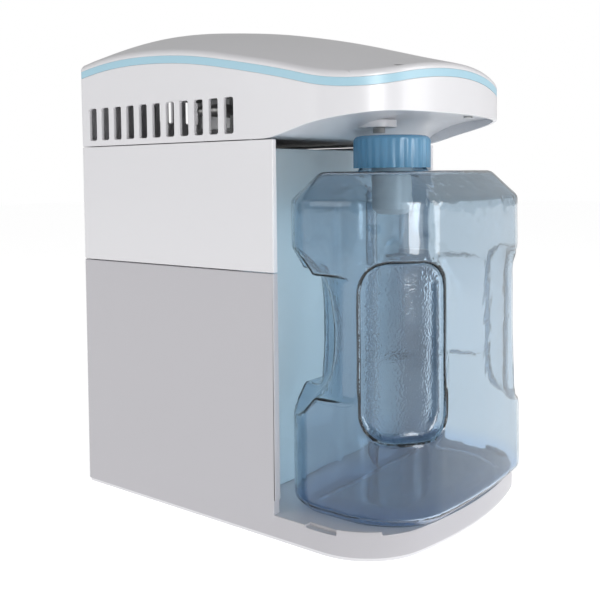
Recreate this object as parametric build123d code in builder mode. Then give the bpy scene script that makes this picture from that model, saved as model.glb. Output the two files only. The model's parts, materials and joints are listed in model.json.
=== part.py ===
from build123d import *

import os
from math import atan2, cos, sin, sqrt

# Countertop water distiller: a boiler in a white housing, a hinged head with the condenser and fan,
# and a clear jug that slides into the open bay at the front.
# Millimetres. +X is the right side seen from the front, +Y the back, +Z up, z = 0 the counter.

os.makedirs("parts", exist_ok=True)

# Front to back, the dimensions are measured from a line 3.5 mm in front of the middle.
centre_shift = 3.5

# ---- housing ----
half_width = 112.5  # at the top seam
flare = 2.3  # extra half width at the counter
back = 152.4
front_edge = -57.0  # front face of the side walls
wall = 3.0
bay_half = 108.2
lip = 3.4  # lower edge of the housing wall
deck = 19.2  # floor the jug stands on
rim = 21.6  # raised rim at the front corners
rim_inner = 98.0  # the rim is raised only this far out, so that the jug slides over
lower_seam = 191.5
upper_seam = 285.1
seam_gap = 0.6
base_tip = -158.0
corner = 54.0  # plan radius of the front corners
bow = 20.0  # how far the front edge bows out
panel_front = -22.4
panel_thick = 2.6
panel_top = 280.2
# ---- head ----
head_tip = -144.3
stripe_top = 4.0  # below the lid surface
stripe_foot = 9.5
ceiling_back = 287.4
ceiling_front = 305.8
vent_count = 11
vent_pitch = 15.16
vent_size = (9.0, 26.1)
vent_first = -16.4  # centre of the front slot
vent_level = 303.2
# ---- jug and cap ----
jug_half = 102.0
jug_back = -46.0
jug_foot = 19.5
jug_foot_bevel = 8.0
jug_tip_low = -165.0
jug_tip_high = -162.0
jug_corner = 57.0
jug_rear_corner = 36.0
jug_bow = 10.0
jug_shoulder = 242.0
jug_top = 262.0
jug_top_inset = 21.0
jug_wall = 2.0
channel_radius = 18.0  # half-round channel down the jug's back
channel_top = 235.0
notch_floor = 105.0  # finger notches in the rear corners
notch_height = 85.0
pocket_floor = 80.0  # shallow grips in the front corners
pocket_height = 120.0
pocket_depth = 8.0
cap_y = -83.6
cap_radius = 29.8
cap_foot = 264.5
cap_top = 289.2
neck_radius = 24.5
neck_top = 282.5
nozzle_y = -72.0
# ---- boiler ----
boiler_y = 65.0
boiler_radius = 76.0
boiler_floor = 60.3
boiler_rim = 264.0
# ---- hinge ----
hinge_y = 155.2
hinge_radius = 2.75
hinge_spots = (-62.0, 62.0)


def housing_half(z):
    """Half width of the flared housing at height z."""
    return half_width + flare * (1 - z / upper_seam)


def d_plan(half, rear, tip, radius, bulge, rear_radius=0.0):
    """Closed plan, square at the rear, with round front corners and a bowed front edge."""
    front_radius = (half**2 + bulge**2) / (2 * bulge)
    centre = tip + front_radius
    corner_x = half - radius
    corner_y = centre - sqrt((front_radius - radius) ** 2 - corner_x**2)
    turn = atan2(centre - corner_y, corner_x)
    touch_x = front_radius * cos(turn)
    touch_y = centre - front_radius * sin(turn)
    mid_x = corner_x + radius * cos(turn / 2)
    mid_y = corner_y - radius * sin(turn / 2)
    with BuildSketch() as plan:
        with BuildLine():
            Polyline((-half, corner_y), (-half, rear), (half, rear), (half, corner_y))
            ThreePointArc((half, corner_y), (mid_x, mid_y), (touch_x, touch_y))
            ThreePointArc((touch_x, touch_y), (0, tip), (-touch_x, touch_y))
            ThreePointArc((-touch_x, touch_y), (-mid_x, mid_y), (-half, corner_y))
        make_face()
        if rear_radius:
            fillet(plan.vertices().group_by(Axis.Y)[-1], rear_radius)
    return plan.sketch


def body_plan(half):
    """Rectangular plan of the housing, with soft rear edges and crisp front ones."""
    with BuildSketch() as plan:
        with Locations((0, (back + front_edge) / 2)):
            Rectangle(2 * half, back - front_edge)
        fillet(plan.vertices().group_by(Axis.Y)[-1], 5)
        fillet(plan.vertices().group_by(Axis.Y)[0], 1)
    return plan.sketch


def housing_block(low, high):
    """Solid slice of the flared housing between two heights."""
    with BuildPart() as block:
        for level in (lip, upper_seam):
            with BuildSketch(Plane.XY.offset(level)):
                add(body_plan(housing_half(level)))
        loft()
        split(bisect_by=Plane.XY.offset(high), keep=Keep.BOTTOM)
        split(bisect_by=Plane.XY.offset(low), keep=Keep.TOP)
    return block.part


def slab(plan, low, high):
    """Straight prism of a plan between two heights."""
    with BuildPart() as prism:
        with BuildSketch(Plane.XY.offset(low)):
            add(plan)
        extrude(amount=high - low)
    return prism.part


def save(builder, name):
    """Centre a finished piece front to back, label it and write its STEP file."""
    piece = Pos(0, centre_shift, 0) * builder.part
    piece.label = name
    export_step(piece, f"parts/{name}.step")


# ---------------------------------------------------------------- housing
inner_half = bay_half + 0.8
chamber_front = panel_front + panel_thick + 0.4
chamber_back = back - wall
base_half = housing_half(lip)
inlet_x = -62.0
inlet_z = 34.0
button_x = 62.0
button_z = 34.0
button_radius = 8.0
lens_z = 56.0

with BuildPart() as lower_housing:
    add(housing_block(lip, lower_seam - seam_gap / 2))
    for level in (lip, rim):
        with BuildSketch(Plane.XY.offset(level)):
            add(d_plan(housing_half(level), front_edge + 5, base_tip, corner, bow))
    loft()
    # chamber for the boiler, open above and below
    with Locations((0, (chamber_front + chamber_back) / 2, lip)):
        Box(
            2 * inner_half,
            chamber_back - chamber_front,
            lower_seam,
            align=(Align.CENTER, Align.CENTER, Align.MIN),
            mode=Mode.SUBTRACT,
        )
    # bay for the jug, open to the front
    with Locations((0, chamber_front, deck)):
        Box(
            2 * bay_half,
            chamber_front - front_edge + 8,
            lower_seam,
            align=(Align.CENTER, Align.MAX, Align.MIN),
            mode=Mode.SUBTRACT,
        )
    # recess inside the rim, and the hollow under the deck
    recess = d_plan(base_half - 3.4, front_edge, base_tip + 3.4, corner - 3.4, bow)
    add(slab(recess, deck, rim + 1), mode=Mode.SUBTRACT)
    hollow = d_plan(base_half - 3.6, chamber_front + 2, base_tip + 3.6, corner - 3.6, bow)
    add(slab(hollow, lip, deck - wall), mode=Mode.SUBTRACT)
    # the rim is raised only at the front corners, and notched behind them
    with Locations((0, base_tip, deck)):
        Box(2 * rim_inner, 60, 10, align=(Align.CENTER, Align.MIN, Align.MIN), mode=Mode.SUBTRACT)
    with Locations((0, -109, deck)):
        Box(240, 109 + front_edge + 1, 10, align=(Align.CENTER, Align.MIN, Align.MIN), mode=Mode.SUBTRACT)
    for side in (-1, 1):
        with Locations((side * 115, -96.5, 17.4)):
            Box(12, 25, 10, align=(Align.CENTER, Align.CENTER, Align.MIN), mode=Mode.SUBTRACT)
    # ribs behind the front panel
    for side in (-1, 1):
        with Locations((side * (inner_half - 1.5), chamber_front + 1.5, 24)):
            Box(3.4, 3, 160, align=(Align.CENTER, Align.CENTER, Align.MIN))
    # openings in the back wall for the inlet, the button and the lens
    with Locations((inlet_x, back, inlet_z)):
        Box(25.4, 20, 18.4, mode=Mode.SUBTRACT)
    with BuildSketch(Plane.XZ.offset(-back - 1)):
        with Locations((button_x, button_z)):
            Circle(button_radius + 0.4)
        with Locations((button_x, lens_z)):
            Circle(3.05)
    extrude(amount=20, mode=Mode.SUBTRACT)
save(lower_housing, "lower_housing")

with BuildPart() as upper_housing:
    add(housing_block(lower_seam + seam_gap / 2, upper_seam - seam_gap / 2))
    with Locations((0, (chamber_front + chamber_back) / 2, lower_seam)):
        Box(
            2 * inner_half,
            chamber_back - chamber_front,
            upper_seam,
            align=(Align.CENTER, Align.CENTER, Align.MIN),
            mode=Mode.SUBTRACT,
        )
    with Locations((0, chamber_front, lower_seam)):
        Box(
            2 * bay_half,
            chamber_front - front_edge + 8,
            upper_seam,
            align=(Align.CENTER, Align.MAX, Align.MIN),
            mode=Mode.SUBTRACT,
        )
    for side in (-1, 1):
        with Locations((side * (inner_half - 1.5), chamber_front + 1.5, 196)):
            Box(3.4, 3, 66, align=(Align.CENTER, Align.CENTER, Align.MIN))
save(upper_housing, "upper_housing")

with BuildPart() as front_panel:
    with BuildSketch(Plane.XZ.offset(-panel_front - panel_thick)):
        with Locations((0, (deck + 0.3 + panel_top) / 2)):
            Rectangle(2 * bay_half - 0.6, panel_top - deck - 0.3)
    extrude(amount=panel_thick)
    chamfer(front_panel.edges().filter_by(Axis.X).group_by(Axis.Z)[-1], 0.8)
save(front_panel, "front_panel")

plinth_half = base_half - 1.2
foot_spots = [(-88, 128), (88, 128), (-82, -104), (82, -104)]
screw_spots = [(-96, 100), (96, 100), (-96, -60), (96, -60)]

with BuildPart() as base_plate:
    with BuildSketch(Plane.XY.offset(1)):
        add(d_plan(plinth_half, back - 1.2, base_tip + 1.2, corner - 1.2, bow, 4))
    extrude(amount=lip - 0.1 - 1)
    with BuildSketch(Plane.XY):
        with Locations(*screw_spots):
            Circle(2.05)
    extrude(amount=lip + 1, mode=Mode.SUBTRACT)
    with BuildSketch(Plane.XY):
        with Locations(*screw_spots):
            Circle(4.2)
    extrude(amount=1.9, mode=Mode.SUBTRACT)
save(base_plate, "base_plate")

with BuildPart() as feet:
    with BuildSketch():
        with Locations(*foot_spots):
            Circle(11)
    extrude(amount=1, taper=8)
save(feet, "feet")

with BuildPart() as base_screws:
    for x, y in screw_spots:
        with Locations((x, y, 1.2)):
            Cylinder(3.9, 0.7, align=(Align.CENTER, Align.CENTER, Align.MIN))
            Cylinder(2, 6, align=(Align.CENTER, Align.CENTER, Align.MIN))
            Box(5, 0.9, 0.7, align=(Align.CENTER, Align.CENTER, Align.CENTER), mode=Mode.SUBTRACT)
save(base_screws, "base_screws")

# ---------------------------------------------------------------- boiler and heater
rim_radius = boiler_radius + 6
seat_foot = lip + 0.1
boiler_axis = Axis((0, boiler_y, 0), (0, 0, 1))
boiler_plane = Plane.XZ.offset(-boiler_y)

with BuildPart() as boiler_seat:
    with Locations((0, boiler_y, seat_foot)):
        Cylinder(72, 51, align=(Align.CENTER, Align.CENTER, Align.MIN))
        Cylinder(69, 60, align=(Align.CENTER, Align.CENTER, Align.MIN), mode=Mode.SUBTRACT)
    with Locations((0, boiler_y, seat_foot)):
        with PolarLocations(76, 6):
            Box(12, 3, 40, align=(Align.CENTER, Align.CENTER, Align.MIN))
        with PolarLocations(70, 3, start_angle=30):
            Box(16, 26, 24, align=(Align.CENTER, Align.CENTER, Align.MIN), mode=Mode.SUBTRACT)
save(boiler_seat, "boiler_seat")

with BuildPart() as heater_plate:
    with Locations((0, boiler_y, seat_foot + 51.1)):
        Cylinder(71, 5.4, align=(Align.CENTER, Align.CENTER, Align.MIN))
save(heater_plate, "heater_plate")

element_level = seat_foot + 51 - 4.2
element_radius = 48.0
with BuildPart() as heating_element:
    with BuildSketch(boiler_plane):
        with Locations((element_radius, element_level)):
            Circle(4.1)
    revolve(axis=boiler_axis, revolution_arc=330)
    with Locations((0, boiler_y, element_level - 18)):
        with PolarLocations(element_radius, 2, start_angle=-30, angular_range=30, endpoint=True):
            Cylinder(3, 18, align=(Align.CENTER, Align.CENTER, Align.MIN))
save(heating_element, "heating_element")

with BuildPart() as thermostat:
    with Locations((0, boiler_y, seat_foot + 51)):
        Cylinder(12, 9, align=(Align.CENTER, Align.CENTER, Align.MAX))
        Box(34, 8, 1.6, align=(Align.CENTER, Align.CENTER, Align.MAX))
    with Locations((-5, boiler_y, seat_foot + 42), (5, boiler_y, seat_foot + 42)):
        Box(4, 0.8, 8, align=(Align.CENTER, Align.CENTER, Align.MAX))
save(thermostat, "thermostat")

with BuildPart() as thermal_cutout:
    with Locations((0, boiler_y - 27, seat_foot + 51)):
        Box(26, 9, 7, align=(Align.CENTER, Align.CENTER, Align.MAX))
    with Locations((-16, boiler_y - 27, seat_foot + 47.5), (16, boiler_y - 27, seat_foot + 47.5)):
        Box(8, 2, 1, align=(Align.CENTER, Align.CENTER, Align.CENTER))
save(thermal_cutout, "thermal_cutout")

with BuildPart() as boiler:
    with BuildSketch(boiler_plane):
        with BuildLine():
            Polyline(
                (0, boiler_floor),
                (boiler_radius - 6, boiler_floor),
                (boiler_radius, boiler_floor + 6),
                (boiler_radius, boiler_rim - 2.4),
                (rim_radius, boiler_rim - 2.4),
                (rim_radius, boiler_rim),
                (boiler_radius - 1.6, boiler_rim),
                (boiler_radius - 1.6, boiler_floor + 7),
                (boiler_radius - 7, boiler_floor + 1.8),
                (0, boiler_floor + 1.8),
                close=True,
            )
        make_face()
    revolve(axis=boiler_axis)
save(boiler, "boiler")

with BuildPart() as boiler_handles:
    for side in (-1, 1):
        with Locations((side * (rim_radius + 6), boiler_y, boiler_rim - 16)):
            Box(12.4, 44, 5)
            Box(24.8, 30, 8, mode=Mode.SUBTRACT)
        with Locations((side * (rim_radius + 11), boiler_y, boiler_rim - 16)):
            Box(4, 44, 5)
        for end in (-1, 1):
            with Locations((side * (rim_radius + 2), boiler_y + end * 18.5, boiler_rim - 8.5)):
                Box(6, 7, 12)
save(boiler_handles, "boiler_handles")

splash_level = 268.0
with BuildPart() as splash_deck:
    with Locations((0, (chamber_front + chamber_back) / 2, splash_level)):
        Box(
            2 * inner_half - 0.4,
            chamber_back - chamber_front - 0.4,
            2.4,
            align=(Align.CENTER, Align.CENTER, Align.MIN),
        )
    with Locations((0, boiler_y, splash_level - 14)):
        Box(212, 50, 30, align=(Align.CENTER, Align.CENTER, Align.MIN), mode=Mode.SUBTRACT)
        Cylinder(86, 30, align=(Align.CENTER, Align.CENTER, Align.MIN), mode=Mode.SUBTRACT)
save(splash_deck, "splash_deck")

lid_foot = boiler_rim + 2.2
chimney_top = 284.9
with BuildPart() as boiler_lid:
    with BuildSketch(boiler_plane):
        with BuildLine():
            Polyline(
                (8.5, lid_foot + 4.6),
                (30, lid_foot + 4.6),
                (66, lid_foot),
                (rim_radius - 1, lid_foot),
                (rim_radius - 1, lid_foot + 1.6),
                (66.6, lid_foot + 1.6),
                (30.6, lid_foot + 6.2),
                (11, lid_foot + 6.2),
                (11, chimney_top),
                (8.5, chimney_top),
                close=True,
            )
        make_face()
    revolve(axis=boiler_axis)
    for side in (-1, 1):
        with Locations((side * 46, boiler_y, lid_foot + 2.4)):
            Box(7, 34, 12, align=(Align.CENTER, Align.CENTER, Align.MIN))
save(boiler_lid, "boiler_lid")

with BuildPart() as boiler_gasket:
    with Locations((0, boiler_y, boiler_rim + 0.3)):
        Cylinder(rim_radius - 2, 1.8, align=(Align.CENTER, Align.CENTER, Align.MIN))
        Cylinder(boiler_radius - 1, 1.8, align=(Align.CENTER, Align.CENTER, Align.MIN), mode=Mode.SUBTRACT)
save(boiler_gasket, "boiler_gasket")

# ---------------------------------------------------------------- electrics on the back wall
with BuildPart() as power_inlet:
    with Locations((inlet_x, back + 0.1, inlet_z)):
        Box(31, 2.2, 25, align=(Align.CENTER, Align.MIN, Align.CENTER))
    with Locations((inlet_x, back + 0.2, inlet_z)):
        Box(25, 20, 18, align=(Align.CENTER, Align.MAX, Align.CENTER))
    with Locations((inlet_x, back + 3, inlet_z)):
        Box(21.5, 17, 14.5, align=(Align.CENTER, Align.MAX, Align.CENTER), mode=Mode.SUBTRACT)
    chamfer(power_inlet.edges().filter_by(Axis.Y).group_by(Axis.Z)[-1], 3)
save(power_inlet, "power_inlet")

with BuildPart() as inlet_pins:
    for x, z in ((-7, -1), (0, 3), (7, -1)):
        with Locations((inlet_x + x, back - 13.9, inlet_z + z)):
            Box(1.6, 12, 4, align=(Align.CENTER, Align.MIN, Align.CENTER))
        with Locations((inlet_x + x, back - 19.9, inlet_z + z)):
            Box(0.8, 7, 4, align=(Align.CENTER, Align.MAX, Align.CENTER))
save(inlet_pins, "inlet_pins")

with BuildPart() as start_button:
    with BuildSketch(Plane.XZ.offset(-back - 3)):
        with Locations((button_x, button_z)):
            Circle(button_radius)
    extrude(amount=8)
    fillet(start_button.edges().group_by(Axis.Y)[-1], 1)
    with BuildSketch(Plane.XZ.offset(-back + 5)):
        with Locations((button_x, button_z)):
            Circle(2.4)
    extrude(amount=3.3)
save(start_button, "start_button")

with BuildPart() as start_switch:
    with Locations((button_x, back - 11.4, button_z)):
        Box(20, 18, 20, align=(Align.CENTER, Align.MAX, Align.CENTER))
    with Locations((button_x, back - wall - 0.1, button_z)):
        Box(26, 8.4, 26, align=(Align.CENTER, Align.MAX, Align.CENTER))
        Box(18, 8.4, 18, align=(Align.CENTER, Align.MAX, Align.CENTER), mode=Mode.SUBTRACT)
save(start_switch, "start_switch")

with BuildPart() as indicator_lens:
    with BuildSketch(Plane.XZ.offset(-back - 1.2)):
        with Locations((button_x, lens_z)):
            Circle(3)
    extrude(amount=9)
    fillet(indicator_lens.edges().group_by(Axis.Y)[-1], 1)
save(indicator_lens, "indicator_lens")

with BuildPart() as terminal_block:
    with Locations((-96, 20, seat_foot)):
        Box(16, 44, 14, align=(Align.CENTER, Align.CENTER, Align.MIN))
    for step in range(4):
        with Locations((-96, 4 + 10.7 * step, seat_foot + 14)):
            Cylinder(3, 3, align=(Align.CENTER, Align.CENTER, Align.MAX), mode=Mode.SUBTRACT)
save(terminal_block, "terminal_block")

# ---------------------------------------------------------------- hinge on the back
leaf_width = 34.0
knuckle = leaf_width / 3
leaf_thick = 1.6
leaf_screws = ((-11, 9.5), (11, 9.5))


def hinge_leaf(direction, spans):
    """A screwed leaf of both butt hinges; direction is -1 for the fixed half, 1 for the head's."""
    with BuildPart() as leaf:
        for spot in hinge_spots:
            with Locations((spot, back + 0.05, upper_seam + direction * 9)):
                Box(leaf_width, leaf_thick, 17, align=(Align.CENTER, Align.MIN, Align.CENTER))
            for shift in spans:
                with BuildSketch(Plane.YZ.offset(spot + shift - knuckle / 2 + 0.15)):
                    with Locations((hinge_y, upper_seam)):
                        Circle(hinge_radius)
                    with Locations((back + 0.05, upper_seam + direction * 1.5)):
                        Rectangle(leaf_thick, 3, align=(Align.MIN, Align.CENTER))
                extrude(amount=knuckle - 0.3)
            free = [shift for shift in (-knuckle, 0, knuckle) if shift not in spans]
            for shift in free:
                with Locations((spot + shift, hinge_y, upper_seam)):
                    Box(knuckle + 0.3, 2 * hinge_radius + 0.8, 2 * hinge_radius + 0.8, mode=Mode.SUBTRACT)
            with BuildSketch(Plane.YZ.offset(spot - leaf_width)):
                with Locations((hinge_y, upper_seam)):
                    Circle(1.25)
            extrude(amount=2 * leaf_width, mode=Mode.SUBTRACT)
            with BuildSketch(Plane.XZ.offset(-back - 5)):
                for x, rise in leaf_screws:
                    with Locations((spot + x, upper_seam + direction * (rise + 1.5))):
                        Circle(1.7)
            extrude(amount=10, mode=Mode.SUBTRACT)
    return leaf


hinge_leaf_lower = hinge_leaf(-1, (-knuckle, knuckle))
save(hinge_leaf_lower, "hinge_leaf_lower")
hinge_leaf_upper = hinge_leaf(1, (0,))
save(hinge_leaf_upper, "hinge_leaf_upper")

with BuildPart() as hinge_pins:
    for spot in hinge_spots:
        with BuildSketch(Plane.YZ.offset(spot - leaf_width / 2)):
            with Locations((hinge_y, upper_seam)):
                Circle(1.2)
        extrude(amount=leaf_width)
save(hinge_pins, "hinge_pins")


def hinge_screws(direction):
    """Pan-head screws that hold one leaf of each hinge."""
    with BuildPart() as screws:
        for spot in hinge_spots:
            for x, rise in leaf_screws:
                height = upper_seam + direction * (rise + 1.5)
                with BuildSketch(Plane.XZ.offset(-back - 3)):
                    with Locations((spot + x, height)):
                        Circle(3)
                extrude(amount=1.2)
                with BuildSketch(Plane.XZ.offset(-back - 2)):
                    with Locations((spot + x, height)):
                        Circle(1.5)
                extrude(amount=1.9)
                with Locations((spot + x, back + 3, height)):
                    Box(3.6, 1, 0.7, mode=Mode.SUBTRACT)
    return screws


lower_hinge_screws = hinge_screws(-1)
save(lower_hinge_screws, "lower_hinge_screws")
upper_hinge_screws = hinge_screws(1)
save(upper_hinge_screws, "upper_hinge_screws")

# ---------------------------------------------------------------- head
# Stations along Y: (y, height of the lid at the sides, height at the centre line).
lid_stations = (
    (154.0, 350.2, 377.0),
    (124.0, 354.8, 380.6),
    (90.0, 356.8, 383.0),
    (58.0, 356.0, 380.8),
    (26.0, 353.2, 377.2),
    (-6.0, 348.2, 372.4),
    (-38.0, 342.0, 366.0),
    (-66.0, 336.0, 359.4),
    (-94.0, 329.0, 351.8),
    (-122.0, 321.6, 344.4),
    (-150.0, 314.0, 336.6),
)
shell_floor = upper_seam + seam_gap / 2

with BuildPart() as under_lid:
    for y, side_height, centre_height in lid_stations:
        with BuildSketch(Plane.XZ.offset(-y)):
            with BuildLine():
                ThreePointArc((-half_width, side_height), (0, centre_height), (half_width, side_height))
                Polyline((half_width, side_height), (half_width, 200), (-half_width, 200))
                Line((-half_width, 200), (-half_width, side_height))
            make_face()
    loft()
lid_form = under_lid.part
stripe_upper_form = Pos(0, 0, -stripe_top) * lid_form
stripe_lower_form = Pos(0, 0, -stripe_foot) * lid_form
skirt_lower_form = Pos(0, 0, -stripe_foot - 6) * lid_form


def head_plan(inset):
    """Plan of the head, or the same plan moved in by an even wall."""
    return d_plan(half_width - inset, back - inset, head_tip + inset, corner - inset, bow, 5)


with BuildPart() as head_shell:
    add(slab(head_plan(0), shell_floor, 400))
    add(Pos(0, 0, -0.1) * stripe_lower_form, mode=Mode.INTERSECT)
    add(slab(head_plan(wall), shell_floor - 1, 400), mode=Mode.SUBTRACT)
    # the lower edge sweeps up towards the front
    with BuildSketch(Plane.YZ):
        with BuildLine():
            Spline(
                (-46, shell_floor),
                (-57, 286.6),
                (-80, 292.4),
                (-102, 297.2),
                (-124, 300.8),
                (-150, 303.2),
                tangents=((-1, 0), (-1, 0.05)),
            )
            Polyline((-150, 303.2), (-170, 303.2), (-170, 270), (-46, 270), (-46, shell_floor))
        make_face()
    extrude(amount=150, both=True, mode=Mode.SUBTRACT)
    # a row of cooling slots in each side
    with BuildSketch(Plane.YZ):
        for step in range(vent_count):
            with Locations((vent_first + step * vent_pitch, vent_level)):
                RectangleRounded(*vent_size, 1.8)
    extrude(amount=150, both=True, mode=Mode.SUBTRACT)
    # cooling slots in the back
    with BuildSketch(Plane.XZ.offset(-back - 5)):
        with GridLocations(11, 0, 7, 1):
            with Locations((0, 322)):
                RectangleRounded(5, 26, 1.8)
    extrude(amount=12, mode=Mode.SUBTRACT)
save(head_shell, "head_shell")

with BuildPart() as trim_stripe:
    add(slab(head_plan(0.1), shell_floor, 400))
    add(stripe_upper_form, mode=Mode.INTERSECT)
    add(stripe_lower_form, mode=Mode.SUBTRACT)
    add(slab(head_plan(wall), shell_floor - 1, 401), mode=Mode.SUBTRACT)
save(trim_stripe, "trim_stripe")

with BuildPart() as lid_skirt:
    add(slab(head_plan(wall + 0.2), shell_floor, 400))
    add(slab(head_plan(wall + 2.2), shell_floor - 1, 401), mode=Mode.SUBTRACT)
    add(lid_form, mode=Mode.INTERSECT)
    add(skirt_lower_form, mode=Mode.SUBTRACT)

with BuildPart() as lid_top:
    add(slab(head_plan(0), shell_floor, 400))
    add(lid_form, mode=Mode.INTERSECT)
    add(Pos(0, 0, 0.1) * stripe_upper_form, mode=Mode.SUBTRACT)
    add(lid_skirt.part)
save(lid_top, "lid_top")

boss_floor = 295.8
boss_tip = -85.5
nozzle_radius = 4.7
with BuildPart() as head_tray:
    with BuildSketch(Plane.YZ):
        with BuildLine():
            Line((chamber_back, ceiling_back), (-43, ceiling_back))
            Spline(
                (-43, ceiling_back),
                (-57, 292.6),
                (-72, 299.4),
                (-90, 303.4),
                (-116, 305.2),
                (-150, ceiling_front),
                tangents=((-1, 0), (-1, 0)),
            )
            Polyline((-150, ceiling_front), (-150, ceiling_front + 2.4))
            Spline(
                (-150, ceiling_front + 2.4),
                (-116, 307.6),
                (-90, 305.9),
                (-71, 302.1),
                (-56, 295.3),
                (-43, ceiling_back + 2.4),
                tangents=((1, 0), (1, 0)),
            )
            Polyline(
                (-43, ceiling_back + 2.4),
                (chamber_back, ceiling_back + 2.4),
                (chamber_back, ceiling_back),
            )
        make_face()
    extrude(amount=150, both=True)
    add(slab(head_plan(wall + 0.1), 280, 320), mode=Mode.INTERSECT)
    # tongue that carries the outlet
    with BuildSketch(Plane.XY.offset(boss_floor)):
        with Locations((0, boss_tip + 15)):
            Circle(15)
        with Locations((0, boss_tip + 15)):
            Rectangle(30, 26, align=(Align.CENTER, Align.MIN))
    extrude(amount=6)
    fillet(head_tray.faces().filter_by(Axis.Z).group_by(Axis.Z)[1].edges().filter_by(GeomType.CIRCLE), 1.2)
    with Locations((0, nozzle_y, boss_floor - 1)):
        Cylinder(3.5, 20, align=(Align.CENTER, Align.CENTER, Align.MIN), mode=Mode.SUBTRACT)
    with Locations((0, boiler_y, ceiling_back - 1)):
        Cylinder(9, 10, align=(Align.CENTER, Align.CENTER, Align.MIN), mode=Mode.SUBTRACT)
save(head_tray, "head_tray")

with BuildPart() as nozzle:
    with Locations((0, nozzle_y, boss_floor - 0.1)):
        Cylinder(nozzle_radius, 3.8, align=(Align.CENTER, Align.CENTER, Align.MAX))
    with Locations((0, nozzle_y, boss_floor - 0.2)):
        Cylinder(3.4, 8, align=(Align.CENTER, Align.CENTER, Align.MIN))
    with Locations((0, nozzle_y, boss_floor - 5)):
        Cylinder(2.2, 20, align=(Align.CENTER, Align.CENTER, Align.MIN), mode=Mode.SUBTRACT)
save(nozzle, "nozzle")

with BuildPart() as steam_seal:
    with Locations((0, boiler_y, ceiling_back - 0.1)):
        Cylinder(15, 2.1, align=(Align.CENTER, Align.CENTER, Align.MAX))
        Cylinder(7.6, 2.1, align=(Align.CENTER, Align.CENTER, Align.MAX), mode=Mode.SUBTRACT)
save(steam_seal, "steam_seal")

coil_level = 311.0
tube_radius = 4.0
run_half = 84.0
run_pitch = 24.0
coil_points = [
    (0, boiler_y, ceiling_back + 1.2),
    (0, boiler_y, coil_level),
    (run_half, boiler_y, coil_level),
    (run_half, boiler_y - run_pitch, coil_level),
    (-run_half, boiler_y - run_pitch, coil_level),
    (-run_half, boiler_y - 2 * run_pitch, coil_level),
    (run_half, boiler_y - 2 * run_pitch, coil_level),
    (run_half, boiler_y - 3 * run_pitch, coil_level),
    (-run_half, boiler_y - 3 * run_pitch, coil_level),
    (-run_half, boiler_y - 4 * run_pitch, coil_level),
    (0, boiler_y - 4 * run_pitch, coil_level),
    (0, nozzle_y, coil_level),
    (0, nozzle_y, boss_floor + 8.2),
]
with BuildPart() as condenser_coil:
    with BuildLine() as coil_path:
        FilletPolyline(*coil_points, radius=6)
    with BuildSketch(Plane.XY.offset(ceiling_back + 1.2)):
        with Locations((0, boiler_y)):
            Circle(tube_radius)
            Circle(tube_radius - 0.8, mode=Mode.SUBTRACT)
    sweep(path=coil_path.wires()[0])
save(condenser_coil, "condenser_coil")

fin_pairs = 5
fin_pitch = 8.0
fin_depth = 3 * run_pitch + 20
with BuildPart() as fin_blank:
    with BuildSketch(Plane.YZ):
        with Locations((boiler_y - 1.5 * run_pitch, coil_level)):
            RectangleRounded(fin_depth, 24, 2)
            with GridLocations(run_pitch, 0, 4, 1):
                Circle(tube_radius + 0.15, mode=Mode.SUBTRACT)
    extrude(amount=0.45, both=True)
fin = fin_blank.part
with BuildPart() as condenser_fins:
    for step in range(fin_pairs):
        for side in (-1, 1):
            add(Pos(side * (14 + step * fin_pitch), 0, 0) * fin)
save(condenser_fins, "condenser_fins")

fan_y = 70.0
fan_floor = 327.0
fan_radius = 57.0
with BuildPart() as fan_frame:
    with Locations((0, fan_y, fan_floor)):
        Box(122, 122, 24, align=(Align.CENTER, Align.CENTER, Align.MIN))
        Cylinder(fan_radius, 24, align=(Align.CENTER, Align.CENTER, Align.MIN), mode=Mode.SUBTRACT)
    fillet(fan_frame.edges().filter_by(Axis.Z), 6)
    with Locations((0, fan_y, fan_floor)):
        Cylinder(17, 2.4, align=(Align.CENTER, Align.CENTER, Align.MIN))
        for angle in (45, 135):
            with Locations(Rotation(0, 0, angle)):
                Box(118, 6, 2.4, align=(Align.CENTER, Align.CENTER, Align.MIN))
    post_top = fan_floor + 4
    for x in (-57.3, 57.3):
        for y in (boiler_y - 1.5 * run_pitch, fan_y + 54):
            with Locations((x, y, ceiling_back + 2.5)):
                Cylinder(3, post_top - ceiling_back - 2.5, align=(Align.CENTER, Align.CENTER, Align.MIN))
save(fan_frame, "fan_frame")

with BuildPart() as fan_motor:
    with Locations((0, fan_y, fan_floor + 2.5)):
        Cylinder(16, 7, align=(Align.CENTER, Align.CENTER, Align.MIN))
        Cylinder(2, 17, align=(Align.CENTER, Align.CENTER, Align.MIN))
save(fan_motor, "fan_motor")

blade_count = 7
with BuildPart() as fan_rotor:
    with Locations((0, fan_y, fan_floor + 9.9)):
        Cylinder(19, 10, align=(Align.CENTER, Align.CENTER, Align.MIN))
        with PolarLocations(36, blade_count):
            with Locations(Rotation(32, 0, 0)):
                with Locations((0, 0, 0)):
                    Box(36, 20, 1.6)
    with Locations((0, fan_y, fan_floor + 8)):
        Cylinder(2.06, 20, align=(Align.CENTER, Align.CENTER, Align.MIN), mode=Mode.SUBTRACT)
save(fan_rotor, "fan_rotor")

tray_screw_spots = [(-60, -118), (60, -118), (-101, -20), (101, -20)]
with BuildPart() as tray_screws:
    for x, y in tray_screw_spots:
        level = ceiling_back if y > -50 else 305.2
        with Locations((x, y, level - 0.1)):
            Cylinder(3.6, 1.3, align=(Align.CENTER, Align.CENTER, Align.MAX))
        with Locations((x, y, level - 1.4)):
            Box(4.4, 0.8, 1.4, mode=Mode.SUBTRACT)
save(tray_screws, "tray_screws")


# ---------------------------------------------------------------- jug
def jug_plan(inset, tip):
    """Plan of the jug wall, moved in by an inset."""
    half = jug_half - inset
    front_radius = jug_corner - min(inset, 20)
    return d_plan(half, jug_back - inset, tip + inset, front_radius, jug_bow, jug_rear_corner - inset)


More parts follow.
